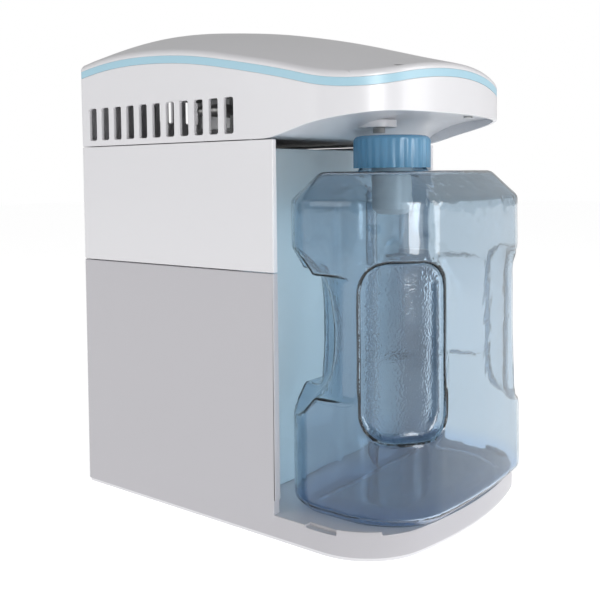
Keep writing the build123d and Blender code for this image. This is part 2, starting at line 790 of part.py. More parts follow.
def jug_form(skin):
    """Filled outer form of the jug, or of its hollow when skin is the wall thickness."""
    slope = 0.42 * skin
    with BuildPart() as form:
        for level, inset, tip in (
            (jug_foot + skin, jug_foot_bevel + slope, jug_tip_low),
            (jug_foot + jug_foot_bevel, skin, jug_tip_low),
        ):
            with BuildSketch(Plane.XY.offset(level)):
                add(jug_plan(inset, tip))
        loft()
        for level, tip in ((jug_foot + jug_foot_bevel, jug_tip_low), (jug_shoulder, jug_tip_high)):
            with BuildSketch(Plane.XY.offset(level)):
                add(jug_plan(skin, tip))
        loft()
        for level, inset in ((jug_shoulder, skin), (jug_top - skin, jug_top_inset + slope)):
            with BuildSketch(Plane.XY.offset(level)):
                add(jug_plan(inset, jug_tip_high))
        loft()
        # half-round channel down the back, closed by a dome
        with Locations((0, jug_back, 0)):
            Cylinder(
                channel_radius + skin,
                channel_top,
                align=(Align.CENTER, Align.CENTER, Align.MIN),
                mode=Mode.SUBTRACT,
            )
        with Locations((0, jug_back, channel_top)):
            Sphere(channel_radius + skin, mode=Mode.SUBTRACT)
        # finger notches in the rear corners
        for side in (-1, 1):
            with BuildSketch(Plane.XY.offset(notch_floor - skin)):
                with BuildLine():
                    ThreePointArc(
                        (side * (103 - skin), -121 - skin),
                        (side * (88 - skin), -80 - skin),
                        (side * (61 - skin), -57 - skin),
                    )
                    Polyline(
                        (side * (61 - skin), -57 - skin),
                        (side * (35 - skin), -31),
                        (side * 110, -31),
                        (side * 110, -121 - skin),
                        (side * (103 - skin), -121 - skin),
                    )
                make_face()
            extrude(amount=notch_height + 2 * skin, mode=Mode.SUBTRACT)
        # shallow pockets in the front corners
        for side in (-1, 1):
            with BuildSketch(Plane.XY.offset(pocket_floor - skin)):
                with Locations((side * (56 - skin), -124 + skin)):
                    align_x = Align.MIN if side > 0 else Align.MAX
                    Rectangle(100, 60, align=(align_x, Align.MAX))
                add(jug_plan(pocket_depth + skin, jug_tip_high - 1.5), mode=Mode.SUBTRACT)
            extrude(amount=pocket_height + 2 * skin, mode=Mode.SUBTRACT)
    return form.part


with BuildPart() as jug:
    add(jug_form(0))
    with Locations((0, cap_y, jug_top - 1)):
        Cylinder(neck_radius, neck_top - jug_top + 1, align=(Align.CENTER, Align.CENTER, Align.MIN))
        Cylinder(neck_radius, 9, align=(Align.CENTER, Align.CENTER, Align.MAX))
        Cylinder(26.6, 3, align=(Align.CENTER, Align.CENTER, Align.MIN))
    add(jug_form(jug_wall), mode=Mode.SUBTRACT)
    with Locations((0, cap_y, jug_top - 10)):
        Cylinder(neck_radius - 2, 60, align=(Align.CENTER, Align.CENTER, Align.MIN), mode=Mode.SUBTRACT)
save(jug, "jug")

cup_radius = 16.5
cup_floor = 229.0
with BuildPart() as filter_cup:
    with BuildSketch(Plane.XZ.offset(-cap_y)):
        with BuildLine():
            Polyline(
                (0, cup_floor),
                (cup_radius - 5, cup_floor),
                (cup_radius - 1, cup_floor + 4),
                (cup_radius, neck_top + 0.1),
                (neck_radius, neck_top + 0.1),
                (neck_radius, neck_top + 1.5),
                (cup_radius - 1.2, neck_top + 1.5),
                (cup_radius - 2.2, cup_floor + 4.6),
                (cup_radius - 5.4, cup_floor + 1.2),
                (0, cup_floor + 1.2),
                close=True,
            )
        make_face()
    revolve(axis=Axis((0, cap_y, 0), (0, 0, 1)))
save(filter_cup, "filter_cup")

with BuildPart() as carbon_pod:
    with Locations((0, cap_y, cup_floor + 5)):
        Cylinder(13.2, 22, align=(Align.CENTER, Align.CENTER, Align.MIN))
    fillet(carbon_pod.edges().filter_by(GeomType.CIRCLE), 3)
save(carbon_pod, "carbon_pod")

rib_count = 28
with BuildPart() as cap:
    with Locations((0, cap_y, cap_foot)):
        Cylinder(cap_radius - 0.8, cap_top - cap_foot, align=(Align.CENTER, Align.CENTER, Align.MIN))
    fillet(cap.edges().group_by(Axis.Z)[-1], 3)
    with Locations((0, cap_y, cap_foot)):
        with PolarLocations(cap_radius - 1, rib_count):
            Box(2, 4.2, cap_top - cap_foot - 4.5, align=(Align.CENTER, Align.CENTER, Align.MIN))
    with Locations((0, cap_y, cap_foot - 1)):
        Cylinder(26.9, 22.3, align=(Align.CENTER, Align.CENTER, Align.MIN), mode=Mode.SUBTRACT)
        Cylinder(19, 40, align=(Align.CENTER, Align.CENTER, Align.MIN), mode=Mode.SUBTRACT)
save(cap, "cap")

with BuildPart() as cap_liner:
    with Locations((0, cap_y, neck_top + 1.9)):
        Cylinder(26.4, 1.2, align=(Align.CENTER, Align.CENTER, Align.MIN))
        Cylinder(19.6, 1.2, align=(Align.CENTER, Align.CENTER, Align.MIN), mode=Mode.SUBTRACT)
save(cap_liner, "cap_liner")
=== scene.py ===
import json
from math import atan2, cos, pi, radians, sin, tan

import bmesh
import bpy
from mathutils import Matrix, Vector


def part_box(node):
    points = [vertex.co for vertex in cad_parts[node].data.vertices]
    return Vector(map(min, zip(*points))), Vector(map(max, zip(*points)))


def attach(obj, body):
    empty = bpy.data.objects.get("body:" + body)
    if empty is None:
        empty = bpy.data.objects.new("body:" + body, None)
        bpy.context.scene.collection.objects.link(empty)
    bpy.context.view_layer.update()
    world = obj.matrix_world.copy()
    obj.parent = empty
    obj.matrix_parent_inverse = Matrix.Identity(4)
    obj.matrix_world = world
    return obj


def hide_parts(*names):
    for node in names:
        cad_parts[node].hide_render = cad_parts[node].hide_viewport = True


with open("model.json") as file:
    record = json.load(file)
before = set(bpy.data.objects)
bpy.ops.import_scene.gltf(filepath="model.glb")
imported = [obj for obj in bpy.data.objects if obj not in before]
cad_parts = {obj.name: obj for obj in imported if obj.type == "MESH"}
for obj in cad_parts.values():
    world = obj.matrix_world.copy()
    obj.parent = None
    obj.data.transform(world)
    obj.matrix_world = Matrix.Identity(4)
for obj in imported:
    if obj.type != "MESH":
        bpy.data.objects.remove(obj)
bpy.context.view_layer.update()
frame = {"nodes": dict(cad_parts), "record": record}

# ---------------------------------------------------------------- camera
CAMERA_PLACE = Vector((-0.5735, -0.4381, 0.2598))
CAMERA_YAW = radians(51.93)
CAMERA_PITCH = radians(-3.741)
CAMERA_ROLL = radians(-0.65)
CAMERA_LENS = 51.9
CAMERA_SHIFT = -0.114


def make_camera():
    """A still camera at the front left, a little above the middle of the machine."""
    level = cos(CAMERA_PITCH)
    forward = Vector((sin(CAMERA_YAW) * level, cos(CAMERA_YAW) * level, sin(CAMERA_PITCH)))
    right = Vector((cos(CAMERA_YAW), -sin(CAMERA_YAW), 0))
    up = right.cross(forward)
    right_rolled = right * cos(CAMERA_ROLL) + up * sin(CAMERA_ROLL)
    up_rolled = up * cos(CAMERA_ROLL) - right * sin(CAMERA_ROLL)
    data = bpy.data.cameras.new("camera")
    data.sensor_width = 36
    data.lens = CAMERA_LENS
    data.shift_y = CAMERA_SHIFT
    camera = bpy.data.objects.new("camera", data)
    bpy.context.scene.collection.objects.link(camera)
    turn = Matrix((right_rolled, up_rolled, -forward)).transposed()
    camera.matrix_world = Matrix.Translation(CAMERA_PLACE) @ turn.to_4x4()
    bpy.context.scene.camera = camera


make_camera()


# ---------------------------------------------------------------- modelling helpers
def solo(piece):
    """Select one object and nothing else."""
    bpy.ops.object.select_all(action="DESELECT")
    piece.select_set(True)
    bpy.context.view_layer.objects.active = piece


def edit(piece):
    solo(piece)
    bpy.ops.object.mode_set(mode="EDIT")


def done():
    bpy.ops.object.mode_set(mode="OBJECT")


def pick(piece, kind, test):
    """In edit mode, select only the vertices, edges or faces that pass a test."""
    bpy.ops.mesh.select_mode(type=kind)
    bpy.ops.mesh.select_all(action="DESELECT")
    mesh = bmesh.from_edit_mesh(piece.data)
    items = {"VERT": mesh.verts, "EDGE": mesh.edges, "FACE": mesh.faces}[kind]
    for item in items:
        if test(item):
            item.select_set(True)
    bmesh.update_edit_mesh(piece.data)


def settle(piece, name):
    """Apply an object's place, turn and size to its mesh, and name it."""
    solo(piece)
    bpy.ops.object.transform_apply(location=True, rotation=True, scale=True)
    piece.name = name
    return piece


def block(name, low, high):
    """A box between two corners."""
    low, high = Vector(low), Vector(high)
    bpy.ops.object.select_all(action="DESELECT")
    bpy.ops.mesh.primitive_cube_add(size=1, location=(low + high) / 2)
    piece = bpy.context.object
    piece.scale = high - low
    return settle(piece, name)


def drum(name, centre, radius, low, high, sides=96):
    """An upright cylinder."""
    bpy.ops.object.select_all(action="DESELECT")
    middle = (centre[0], centre[1], (low + high) / 2)
    bpy.ops.mesh.primitive_cylinder_add(vertices=sides, radius=radius, depth=high - low, location=middle)
    return settle(bpy.context.object, name)


def apply(piece, kind, **settings):
    """Add a modifier with these settings and apply it."""
    modifier = piece.modifiers.new(kind.lower(), kind)
    for key, value in settings.items():
        setattr(modifier, key, value)
    solo(piece)
    bpy.ops.object.modifier_apply(modifier=modifier.name)
    return piece


def carve(piece, tool, operation="DIFFERENCE"):
    """Cut a tool out of a piece, or join it on, and throw the tool away."""
    apply(piece, "BOOLEAN", object=tool, operation=operation, solver="EXACT")
    bpy.data.objects.remove(tool)
    return piece


def d_block(name, half, rear, tip, radius, bulge, low, high, rear_radius):
    """A block with round front and rear corners and a front edge that bows out by the bulge.

    The bow is straight beyond the last of its points, at six tenths of the half width.
    """
    piece = block(name, (-half, tip + bulge, low), (half, rear, high))
    edit(piece)
    stations = [half * step / 10 for step in range(-6, 7)]
    for x in stations:
        bpy.ops.mesh.select_all(action="SELECT")
        bpy.ops.mesh.bisect(plane_co=(x, 0, 0), plane_no=(1, 0, 0))
    for x in stations:
        pick(piece, "VERT", lambda v: abs(v.co.x - x) < 1e-5 and abs(v.co.y - tip - bulge) < 1e-5)
        bpy.ops.transform.translate(value=(0, -bulge * (1 - (x / half) ** 2), 0))
    slope = atan2((1 - 0.6**2) * bulge, (1 - 0.6) * half)  # of the front edge beside a corner
    reach = radius * tan((pi / 2 - slope) / 2)

    def upright_at(y):
        return lambda e: all(abs(abs(v.co.x) - half) < 1e-5 and abs(v.co.y - y) < 1e-5 for v in e.verts)

    pick(piece, "EDGE", upright_at(tip + bulge))
    bpy.ops.mesh.bevel(offset=reach, segments=14, affect="EDGES")
    pick(piece, "EDGE", upright_at(rear))
    bpy.ops.mesh.bevel(offset=rear_radius, segments=12, affect="EDGES")
    bpy.ops.mesh.select_all(action="SELECT")
    bpy.ops.mesh.remove_doubles(threshold=0.0003)
    done()
    return piece


def softened(node, width, angle=35.0, segments=2, rounder=None, rounder_width=0.0):
    """A copy of a CAD node with its triangles merged into faces and its edges rounded.

    The edges that pass the rounder test get a larger radius first.
    """
    source = frame["nodes"][node]
    piece = source.copy()
    piece.data = source.data.copy()
    piece.parent = None
    for key in list(piece.keys()):
        if key.startswith("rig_"):
            del piece[key]
    piece.name = node + "_soft"
    bpy.context.scene.collection.objects.link(piece)
    piece.data.materials.clear()
    edit(piece)
    bpy.ops.mesh.select_all(action="SELECT")
    bpy.ops.mesh.remove_doubles(threshold=1e-6)
    bpy.ops.mesh.dissolve_limited(angle_limit=radians(0.3))
    if rounder:
        pick(piece, "EDGE", rounder)
        bpy.ops.mesh.bevel(offset=rounder_width, segments=6, affect="EDGES", clamp_overlap=False)
    done()
    apply(
        piece,
        "BEVEL",
        width=width,
        segments=segments,
        limit_method="ANGLE",
        angle_limit=radians(angle),
        use_clamp_overlap=False,
        miter_outer="MITER_ARC",
    )
    solo(piece)
    bpy.ops.object.shade_smooth_by_angle(angle=radians(30))
    apply(piece, "WEIGHTED_NORMAL", keep_sharp=True)
    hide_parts(node)
    return piece


# ---------------------------------------------------------------- materials
def new_material(name):
    material = bpy.data.materials.new(name)
    material.use_nodes = True
    return material, material.node_tree.nodes, material.node_tree.links


def mottle_group():
    """Shared surface life: slow colour drift, faint roughness change and a fine moulded grain."""
    group = bpy.data.node_groups.new("surface life", "ShaderNodeTree")
    face = group.interface
    for label, kind, default in (
        ("Colour", "NodeSocketColor", (0.8, 0.8, 0.8, 1)),
        ("Drift", "NodeSocketFloat", 0.03),
        ("Drift Scale", "NodeSocketFloat", 9.0),
        ("Roughness", "NodeSocketFloat", 0.3),
        ("Roughness Spread", "NodeSocketFloat", 0.06),
        ("Grain Scale", "NodeSocketFloat", 900.0),
        ("Grain", "NodeSocketFloat", 0.05),
    ):
        socket = face.new_socket(name=label, in_out="INPUT", socket_type=kind)
        socket.default_value = default
    face.new_socket(name="Colour", in_out="OUTPUT", socket_type="NodeSocketColor")
    face.new_socket(name="Roughness", in_out="OUTPUT", socket_type="NodeSocketFloat")
    face.new_socket(name="Normal", in_out="OUTPUT", socket_type="NodeSocketVector")
    nodes, links = group.nodes, group.links
    inside = nodes.new("NodeGroupInput")
    outside = nodes.new("NodeGroupOutput")
    place = nodes.new("ShaderNodeTexCoord")
    slow = nodes.new("ShaderNodeTexNoise")
    slow.inputs["Detail"].default_value = 3
    links.new(place.outputs["Object"], slow.inputs["Vector"])
    links.new(inside.outputs["Drift Scale"], slow.inputs["Scale"])
    centred = nodes.new("ShaderNodeMath")
    centred.operation = "SUBTRACT"
    centred.inputs[1].default_value = 0.5
    links.new(slow.outputs["Fac"], centred.inputs[0])
    amount = nodes.new("ShaderNodeMath")
    amount.operation = "MULTIPLY_ADD"
    amount.inputs[2].default_value = 1.0
    links.new(centred.outputs[0], amount.inputs[0])
    links.new(inside.outputs["Drift"], amount.inputs[1])
    tint = nodes.new("ShaderNodeVectorMath")
    tint.operation = "SCALE"
    links.new(inside.outputs["Colour"], tint.inputs[0])
    links.new(amount.outputs[0], tint.inputs["Scale"])
    links.new(tint.outputs[0], outside.inputs["Colour"])
    rough = nodes.new("ShaderNodeMath")
    rough.operation = "MULTIPLY_ADD"
    links.new(centred.outputs[0], rough.inputs[0])
    links.new(inside.outputs["Roughness Spread"], rough.inputs[1])
    links.new(inside.outputs["Roughness"], rough.inputs[2])
    links.new(rough.outputs[0], outside.inputs["Roughness"])
    fine = nodes.new("ShaderNodeTexNoise")
    fine.inputs["Detail"].default_value = 2
    links.new(place.outputs["Object"], fine.inputs["Vector"])
    links.new(inside.outputs["Grain Scale"], fine.inputs["Scale"])
    bump = nodes.new("ShaderNodeBump")
    bump.inputs["Distance"].default_value = 0.0002
    links.new(fine.outputs["Fac"], bump.inputs["Height"])
    links.new(inside.outputs["Grain"], bump.inputs["Strength"])
    links.new(bump.outputs["Normal"], outside.inputs["Normal"])
    return group


SURFACE = mottle_group()


def moulded(name, colour, roughness, grain=0.05, drift=0.03, spread=0.06, grain_scale=900.0, **settings):
    """A solid plastic, rubber or metal with the shared surface life."""
    material, nodes, links = new_material(name)
    shader = nodes["Principled BSDF"]
    life = nodes.new("ShaderNodeGroup")
    life.node_tree = SURFACE
    life.inputs["Colour"].default_value = (*colour, 1)
    life.inputs["Roughness"].default_value = roughness
    life.inputs["Roughness Spread"].default_value = spread
    life.inputs["Grain"].default_value = grain
    life.inputs["Grain Scale"].default_value = grain_scale
    life.inputs["Drift"].default_value = drift
    links.new(life.outputs["Colour"], shader.inputs["Base Color"])
    links.new(life.outputs["Roughness"], shader.inputs["Roughness"])
    links.new(life.outputs["Normal"], shader.inputs["Normal"])
    for key, value in settings.items():
        shader.inputs[key.replace("_", " ")].default_value = value
    return material


def clear_plastic(name, tint, deep_tint, roughness, shade_share, ior=1.5):
    """Clear tinted plastic, deeper at the thick foot and hammered where a grip attribute says so.

    It lets part of the lamps' light through to what is behind it.
    """
    material, nodes, links = new_material(name)
    shader = nodes["Principled BSDF"]
    shader.inputs["Transmission Weight"].default_value = 1
    shader.inputs["IOR"].default_value = ior
    place_on = nodes.new("ShaderNodeTexCoord")
    parts = nodes.new("ShaderNodeSeparateXYZ")
    links.new(place_on.outputs["Object"], parts.inputs[0])
    foot = nodes.new("ShaderNodeMapRange")
    foot.inputs["From Min"].default_value = 0.038
    foot.inputs["From Max"].default_value = 0.024
    links.new(parts.outputs["Z"], foot.inputs["Value"])
    grip = nodes.new("ShaderNodeAttribute")
    grip.attribute_name = "grip"
    share = nodes.new("ShaderNodeMath")
    share.operation = "MULTIPLY_ADD"
    share.inputs[1].default_value = 0.1
    share.use_clamp = True
    links.new(grip.outputs["Fac"], share.inputs[0])
    links.new(foot.outputs["Result"], share.inputs[2])
    tone = nodes.new("ShaderNodeMix")
    tone.data_type = "RGBA"
    tone.inputs["A"].default_value = (*tint, 1)
    tone.inputs["B"].default_value = (*deep_tint, 1)
    links.new(share.outputs[0], tone.inputs["Factor"])
    life = nodes.new("ShaderNodeGroup")
    life.node_tree = SURFACE
    life.inputs["Roughness"].default_value = roughness
    life.inputs["Roughness Spread"].default_value = 0.03
    life.inputs["Grain"].default_value = 0.0
    links.new(tone.outputs["Result"], life.inputs["Colour"])
    links.new(life.outputs["Colour"], shader.inputs["Base Color"])
    links.new(life.outputs["Roughness"], shader.inputs["Roughness"])
    hammer = nodes.new("ShaderNodeTexNoise")
    hammer.inputs["Scale"].default_value = 620
    hammer.inputs["Detail"].default_value = 1
    links.new(place_on.outputs["Object"], hammer.inputs["Vector"])
    depth = nodes.new("ShaderNodeMath")
    depth.operation = "MULTIPLY"
    links.new(hammer.outputs["Fac"], depth.inputs[0])
    links.new(grip.outputs["Fac"], depth.inputs[1])
    bump = nodes.new("ShaderNodeBump")
    bump.inputs["Strength"].default_value = 0.3
    bump.inputs["Distance"].default_value = 0.0004
    links.new(depth.outputs[0], bump.inputs["Height"])
    links.new(bump.outputs["Normal"], shader.inputs["Normal"])
    through = nodes.new("ShaderNodeBsdfTransparent")
    through.inputs["Color"].default_value = (*shade_share, 1)
    path = nodes.new("ShaderNodeLightPath")
    mix = nodes.new("ShaderNodeMixShader")
    links.new(path.outputs["Is Shadow Ray"], mix.inputs["Fac"])
    links.new(shader.outputs["BSDF"], mix.inputs[1])
    links.new(through.outputs["BSDF"], mix.inputs[2])
    links.new(mix.outputs["Shader"], nodes["Material Output"].inputs["Surface"])
    return material


GLOSS = {"drift": 0.006, "spread": 0.015, "Coat_Weight": 0.25, "Coat_Roughness": 0.12}
WHITE = moulded("gloss white plastic", (0.80, 0.795, 0.82), 0.28, **GLOSS)
# Painted shade: a darker copy of the gloss white plastic, so that the lower housing reads darker towards the
# bottom.
SHADED_LOWER_WHITE = moulded("gloss white plastic darkened for painted shade", (0.54, 0.53, 0.56), 0.28, **GLOSS)
PANEL = moulded("pale blue-white panel", (0.60, 0.68, 0.71), 0.16, grain=0.03, drift=0.006)
STRIPE = moulded("sky blue trim", (0.42, 0.66, 0.78), 0.3)
GREY = moulded("light grey plastic", (0.45, 0.46, 0.46), 0.45, grain=0.12)
BLACK = moulded("black plastic", (0.02, 0.02, 0.022), 0.5, grain=0.15)
STEEL = moulded("brushed stainless steel", (0.62, 0.62, 0.61), 0.3, grain=0.1, grain_scale=500, Metallic=1)
ALUMINIUM = moulded("bare aluminium", (0.75, 0.76, 0.77), 0.38, Metallic=1)
BRASS = moulded("brass", (0.72, 0.52, 0.22), 0.3, Metallic=1)
SILICONE = moulded("pale silicone", (0.55, 0.57, 0.58), 0.55)
RUBBER = moulded("dark foot rubber", (0.03, 0.03, 0.03), 0.7, grain=0.3)
CARBON = moulded("carbon pouch", (0.05, 0.05, 0.055), 0.9, grain=0.8, grain_scale=350)
CAP_BLUE = moulded("mid blue cap plastic", (0.13, 0.33, 0.52), 0.25, grain=0.04)
LENS = moulded("amber lens", (0.8, 0.25, 0.04), 0.12, Transmission_Weight=0.4)
CUP = moulded("milky filter plastic", (0.82, 0.87, 0.9), 0.3, Transmission_Weight=0.5)
JUG_TINT = (0.62, 0.71, 0.78)
JUG_FOOT_TINT = (0.46, 0.60, 0.78)
JUG_LETS_THROUGH = (0.86, 0.91, 0.94)
JUG_CLEAR = clear_plastic("clear blue jug plastic", JUG_TINT, JUG_FOOT_TINT, 0.04, JUG_LETS_THROUGH)

NODE_MATERIALS = {
    "white_plastic": WHITE,
    "panel_plastic": PANEL,
    "stripe_blue": STRIPE,
    "grey_plastic": GREY,
    "dark_plastic": BLACK,
    "stainless": STEEL,
    "aluminium": ALUMINIUM,
    "brass": BRASS,
    "silicone": SILICONE,
    "foot_rubber": RUBBER,
    "carbon": CARBON,
    "cap_blue": CAP_BLUE,
    "lens_amber": LENS,
    "cup_plastic": CUP,
    "jug_clear": JUG_CLEAR,
}
SLOT_OF = {part["node"]: part["material_slot"] for part in frame["record"]["subparts"]}


def dress(piece, material):
    piece.data.materials.clear()
    piece.data.materials.append(material)


for node, cad in frame["nodes"].items():
    dress(cad, NODE_MATERIALS[SLOT_OF[node]])

BODY_OF = {node: body for body, nodes in frame["record"]["behaviour"]["bodies"].items() for node in nodes}


def place(piece, node, material=None):
    """Let a piece stand in a CAD node's body, slot and finish."""
    dress(piece, material or NODE_MATERIALS[SLOT_OF[node]])
    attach(piece, BODY_OF[node])
    return piece


# ---------------------------------------------------------------- softened casings
def lid_rim(edge):
    """True for the outer edge between the lid's top and its upright band."""
    if len(edge.link_faces) != 2 or edge.calc_face_angle() < radians(50):
        return False
    rises = sorted(face.normal.z for face in edge.link_faces)
    return rises[1] > 0.5 and abs(rises[0]) < 0.3


# The lower housing takes the darker copy of the white plastic as painted shade; the other casings take the
# plain white.
for node, width in (
    ("lower_housing", 0.0007),
    ("upper_housing", 0.0006),
    ("front_panel", 0.0006),
    ("head_shell", 0.0005),
    ("head_tray", 0.0008),
):
    place(softened(node, width), node, SHADED_LOWER_WHITE if node == "lower_housing" else None)
place(softened("lid_top", 0.0003, angle=50, rounder=lid_rim, rounder_width=0.0032), "lid_top")

# ---------------------------------------------------------------- cap
cap_low, cap_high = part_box("cap")
CAP_CENTRE = (0.0, (cap_low.y + cap_high.y) / 2)
CAP_RADIUS = (cap_high.y - cap_low.y) / 2
CAP_HOLE = 0.019
CAP_RIBS = 30
CAP_RIB_POINTS = 4  # points round the wall for each rib and groove
CAP_GROOVE = 0.974  # groove radius over rib radius
CAP_CROWN = ((0.0005, 0.0017), (0.0010, 0.0012), (0.0015, 0.0009), (0.0024, 0.0004))  # in, up
CAP_CROWN_WIDE = sum(step_in for step_in, step_up in CAP_CROWN)
CAP_CROWN_TALL = sum(step_up for step_in, step_up in CAP_CROWN)
CAP_HOLE_EDGE = ((0.0006, -0.0008), (0.00005, -0.0022))
CAP_FOOT_EDGE = ((0.0007, 0.0), (0.0021, 0.0), (0.00005, -0.0205))


def make_cap():
    """A screw cap with a rounded crown, shallow grooves in its side and a hole in its top."""
    points = CAP_RIBS * CAP_RIB_POINTS
    cap = drum("cap_ribbed", CAP_CENTRE, CAP_RADIUS, cap_low.z, cap_high.z - CAP_CROWN_TALL, points)
    edit(cap)
    pick(cap, "FACE", lambda f: f.normal.z > 0.9)
    flat_top = (CAP_RADIUS - CAP_CROWN_WIDE - CAP_HOLE, 0)
    for step_in, step_up in (*CAP_CROWN, flat_top, *CAP_HOLE_EDGE):
        bpy.ops.mesh.inset(thickness=step_in, depth=step_up)
    pick(cap, "FACE", lambda f: f.normal.z < -0.9)
    for step_in, step_down in CAP_FOOT_EDGE:
        bpy.ops.mesh.inset(thickness=step_in, depth=step_down)
    turn = 2 * pi / points

    def in_groove(v):
        across = Vector((v.co.x - CAP_CENTRE[0], v.co.y - CAP_CENTRE[1]))
        if across.length < CAP_RADIUS - 0.0003:
            return False
        return round(atan2(across.y, across.x) / turn) % CAP_RIB_POINTS < 2

    pick(cap, "VERT", in_groove)
    bpy.ops.transform.resize(value=(CAP_GROOVE, CAP_GROOVE, 1), center_override=(*CAP_CENTRE, 0))
    pick(cap, "FACE", lambda f: f.calc_area() > 1e-3 and abs(f.normal.z) > 0.9)
    faces = [f for f in bmesh.from_edit_mesh(cap.data).faces if f.select]
    if len(faces) == 2:
        bpy.ops.mesh.bridge_edge_loops()
    bpy.ops.mesh.select_all(action="SELECT")
    bpy.ops.mesh.normals_make_consistent(inside=False)
    done()
    apply(cap, "BEVEL", width=0.00025, segments=2, limit_method="ANGLE", angle_limit=radians(30))
    solo(cap)
    bpy.ops.object.shade_smooth_by_angle(angle=radians(50))
    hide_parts("cap")
    return place(cap, "cap")


make_cap()

# ---------------------------------------------------------------- jug
jug_low, jug_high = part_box("jug")
JUG_HALF = jug_high.x
JUG_REAR = jug_high.y
JUG_TIP = jug_low.y
JUG_FOOT = jug_low.z
JUG_BEVEL = 0.008  # at the foot
JUG_CORNER = 0.057
JUG_BOW = 0.010
JUG_SHOULDER = 0.242
JUG_TOP = 0.262
JUG_TOP_INSET = 0.021
NECK_TOP = jug_high.z
NECK_RADIUS = 0.0245
JUG_WALL = 0.002
CHANNEL_RADIUS = 0.018
CHANNEL_TOP = 0.235
POCKET_LOW, POCKET_HIGH = 0.080, 0.200
POCKET_DEEP = 0.008
POCKET_MIDDLE = Vector((0.0775, JUG_TIP + 0.024, (POCKET_LOW + POCKET_HIGH) / 2))
POCKET_TURN = radians(38)
POCKET_WIDE = 0.058
POCKET_ROUND = 0.017  # corner radius of a pocket
POCKET_FLOOR = JUG_TIP + POCKET_DEEP + 0.0015
CORNER_CENTRE = Vector((JUG_HALF - JUG_CORNER, JUG_TIP + 0.0595))
NOTCH_LOW, NOTCH_HIGH = 0.105, 0.190
NOTCH_RADIUS = 0.0787
NOTCH_CENTRE = Vector((0.0245, JUG_REAR - 0.0807))
NOTCH_FRONT = JUG_REAR - 0.0745
NOTCH_ROUND = 0.012
NOTCH_RELIEF = (0.048, 0.048, 0.063)
JUG_REAR_CORNER = 0.036
JUG_TOP_TAPER = 0.975  # front-to-back size of the shoulder over that of the foot
VOXEL = 0.0021


def rounded_bar(name, low, high, axis, radius, segments=8):
    """A box whose edges along one axis are rounded."""
    piece = block(name, low, high)
    edit(piece)
    pick(piece, "EDGE", lambda e: abs((e.verts[0].co - e.verts[1].co).normalized()[axis]) > 0.99)
    bpy.ops.mesh.bevel(offset=radius, segments=segments, affect="EDGES")
    done()
    return piece


def pocket_tool(side):
    """The space of one front-corner grip pocket."""
    half_tall = (POCKET_HIGH - POCKET_LOW) / 2
    half_wide = POCKET_WIDE / 2
    low, high = (-half_wide, -0.05, -half_tall), (half_wide, 0.03, half_tall)
    tool = rounded_bar("pocket tool", low, high, 1, POCKET_ROUND)
    tool.rotation_euler.z = side * POCKET_TURN
    tool.location = (side * POCKET_MIDDLE.x, POCKET_MIDDLE.y, POCKET_MIDDLE.z)
    settle(tool, "pocket tool")
    half, corner = JUG_HALF - POCKET_DEEP, JUG_CORNER - POCKET_DEEP
    keeper = d_block("keeper", half, JUG_REAR, POCKET_FLOOR, corner, JUG_BOW, 0.06, 0.22, 0.03)
    return carve(tool, keeper)


def notch_tool(side):
    """The space of one rear-corner finger notch."""
    low_x, high_x = sorted((side * 0.042, side * 0.13))
    low = (low_x, NOTCH_FRONT, NOTCH_LOW)
    tool = rounded_bar("notch tool", low, (high_x, 0.0, NOTCH_HIGH), 0, NOTCH_ROUND)
    centre = (side * NOTCH_CENTRE.x, NOTCH_CENTRE.y)
    return carve(tool, drum("column", centre, NOTCH_RADIUS - 0.003, 0.05, 0.25, 128))


def corner_relief(side):
    """A soft hollow that rounds the notch out into the rear corner above and below it."""
    bpy.ops.object.select_all(action="DESELECT")
    middle = (side * JUG_HALF, JUG_REAR, (NOTCH_LOW + NOTCH_HIGH) / 2)
    bpy.ops.mesh.primitive_uv_sphere_add(segments=64, ring_count=48, radius=1, location=middle)
    tool = bpy.context.object
    tool.scale = NOTCH_RELIEF
    return settle(tool, "corner relief")


def channel_tool():
    """The half-round channel down the back, with a domed top."""
    bpy.ops.object.select_all(action="DESELECT")
    place_at = (0, JUG_REAR, CHANNEL_TOP)
    bpy.ops.mesh.primitive_uv_sphere_add(segments=64, ring_count=32, radius=CHANNEL_RADIUS, location=place_at)
    tool = settle(bpy.context.object, "channel tool")
    edit(tool)
    pick(tool, "VERT", lambda v: v.co.z < CHANNEL_TOP - 1e-4)
    bpy.ops.transform.translate(value=(0, 0, -0.25))
    done()
    return tool


def mark_grips(jug):
    """Note on each point whether it lies in a hammered grip surface, 1 for yes and 0 for no."""
    grip = jug.data.attributes.new("grip", "FLOAT", "POINT")
    values = []
    for vertex in jug.data.vertices:
        x, y, z = abs(vertex.co.x), vertex.co.y, vertex.co.z
        inside = 0.0
        from_corner = (Vector((x, y)) - CORNER_CENTRE).length
        from_notch = (Vector((x, y)) - NOTCH_CENTRE).length
        in_pocket = POCKET_LOW < z < POCKET_HIGH and x > CORNER_CENTRE.x and y < CORNER_CENTRE.y
        in_notch = NOTCH_LOW < z < NOTCH_HIGH and x > 0.045 and y > NOTCH_FRONT
        if in_pocket and from_corner < JUG_CORNER - 0.0045:
            inside = 1.0
        if in_notch and abs(from_notch - NOTCH_RADIUS + 0.003) < 0.0035:
            inside = 1.0
        values.append(inside)
    grip.data.foreach_set("value", values)


